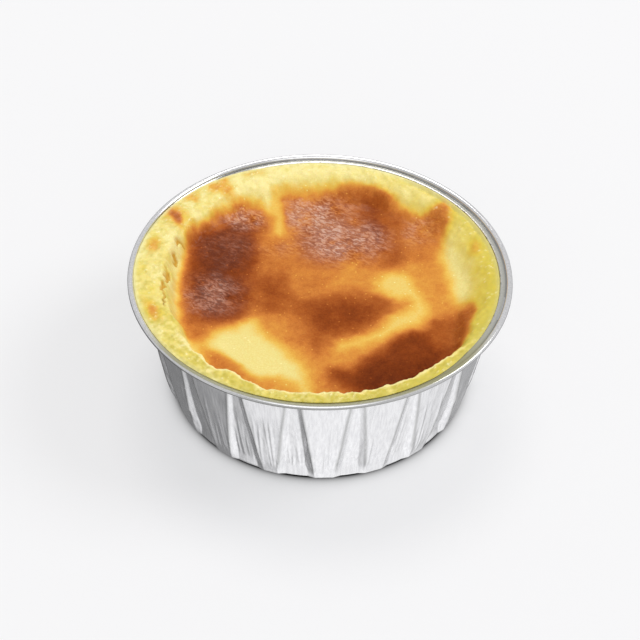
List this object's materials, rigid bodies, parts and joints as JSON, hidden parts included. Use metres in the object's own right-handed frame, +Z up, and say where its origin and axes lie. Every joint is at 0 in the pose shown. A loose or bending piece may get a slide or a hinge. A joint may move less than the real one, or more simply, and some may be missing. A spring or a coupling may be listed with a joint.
{
  "type": "cheese pie",
  "caption": "Round single-portion baked cheese pie: custard filling with a raised lip and a sunken browned centre, in its pleated foil cup with a rolled rim.",
  "frame": {"origin": "middle of the underside of the cup's flat base", "axes": "+Z up out of the cup, -Y the front, the side with the narrow part of the filling's lip, +X to the right seen from the front"},
  "size_m": [0.088, 0.088, 0.0324],
  "materials": {
    "foil": "bright thin foil, finely wrinkled",
    "filling": "baked cheese custard, glossy where browned"
  },
  "bodies": {
    "root": {"foil_cup": "foil", "cheese_filling": "filling"}
  },
  "joints": []
}
